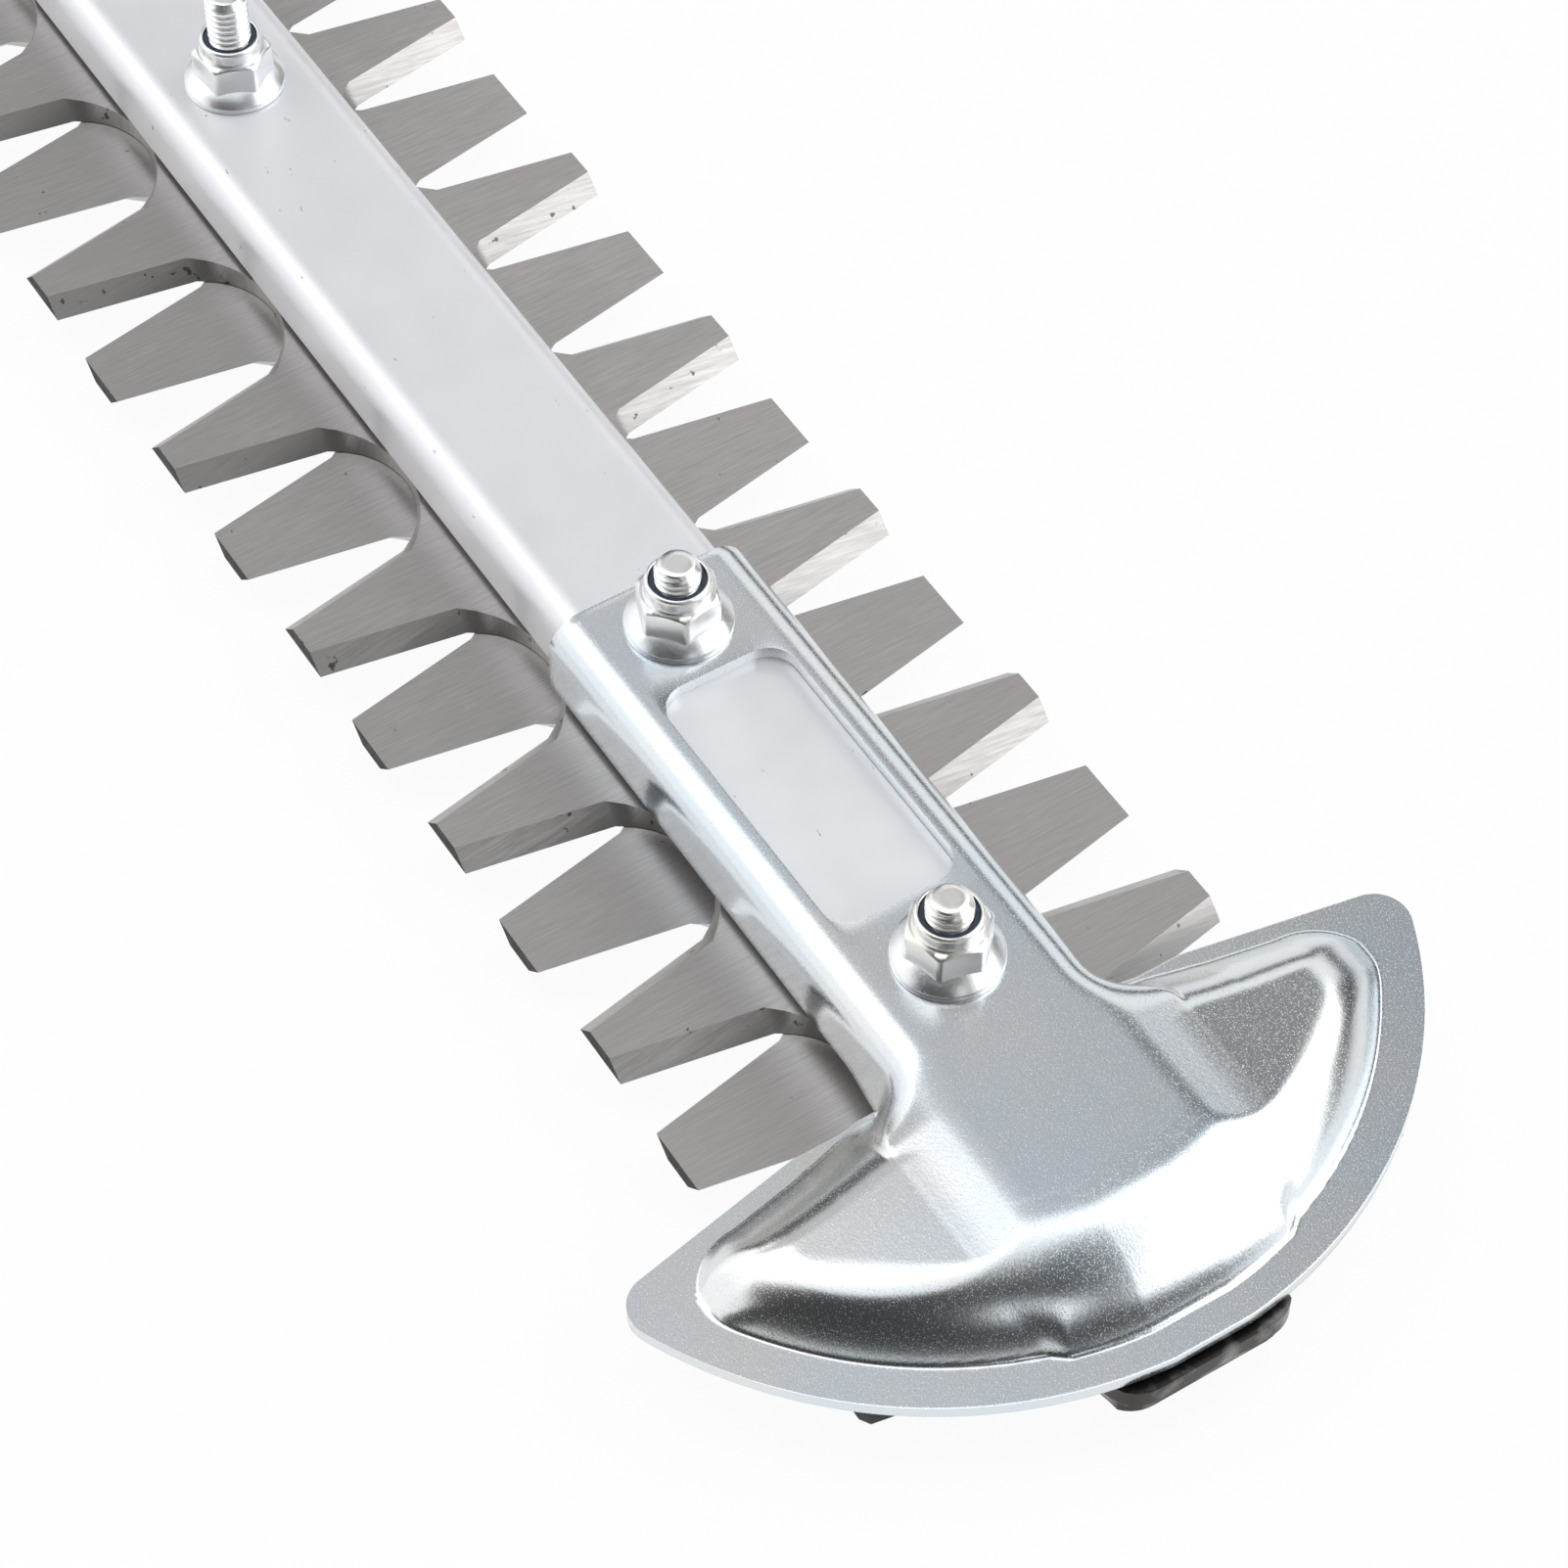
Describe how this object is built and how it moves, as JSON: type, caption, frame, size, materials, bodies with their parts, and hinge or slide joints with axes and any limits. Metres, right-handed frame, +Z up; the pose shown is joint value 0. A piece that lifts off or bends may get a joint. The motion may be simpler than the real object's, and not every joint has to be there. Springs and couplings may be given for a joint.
{
  "type": "hedge trimmer blade",
  "caption": "Double-sided hedge trimmer blade: staggered toothed blades sliding under a clamped guide bar, with a pressed half-moon tip guard.",
  "frame": {"origin": "middle of the bottom face of the whole box, on the level of the bolt heads", "axes": "+X along the blade towards the tip guard, +Y to the right-hand teeth in the picture, +Z up from the blades to the guide bar"},
  "size_m": [0.5292, 0.111, 0.0363],
  "materials": {
    "bar_aluminium": "satin blasted",
    "guard_zinc": "bright zinc plating",
    "blade_steel": "ground",
    "fastener_zinc": "bright zinc plating",
    "ring_nylon": "smooth",
    "collar_steel": "turned"
  },
  "bodies": {
    "frame": {"guide_bar": "bar_aluminium", "tip_guard": "guard_zinc", "blade_bolt_1": "fastener_zinc", "lock_nut_1": "fastener_zinc", "lock_ring_1": "ring_nylon", "slide_collar_1": "collar_steel", "washer_1": "collar_steel", "blade_bolt_2": "fastener_zinc", "lock_nut_2": "fastener_zinc", "lock_ring_2": "ring_nylon", "slide_collar_2": "collar_steel", "washer_2": "collar_steel", "blade_bolt_3": "fastener_zinc", "lock_nut_3": "fastener_zinc", "lock_ring_3": "ring_nylon", "slide_collar_3": "collar_steel", "washer_3": "collar_steel", "blade_bolt_4": "fastener_zinc", "lock_nut_4": "fastener_zinc", "lock_ring_4": "ring_nylon", "slide_collar_4": "collar_steel", "washer_4": "collar_steel"},
    "upper": {"upper_blade": "blade_steel"},
    "lower": {"lower_blade": "blade_steel"}
  },
  "joints": [
    {"name": "upper_blade_slide", "type": "slide", "parent": "frame", "child": "upper", "axis": [1, 0, 0], "range_m": [-0.00985, 0.00895]},
    {"name": "lower_blade_slide", "type": "slide", "parent": "frame", "child": "lower", "axis": [1, 0, 0], "range_m": [-0.00895, 0.00985]}
  ]
}
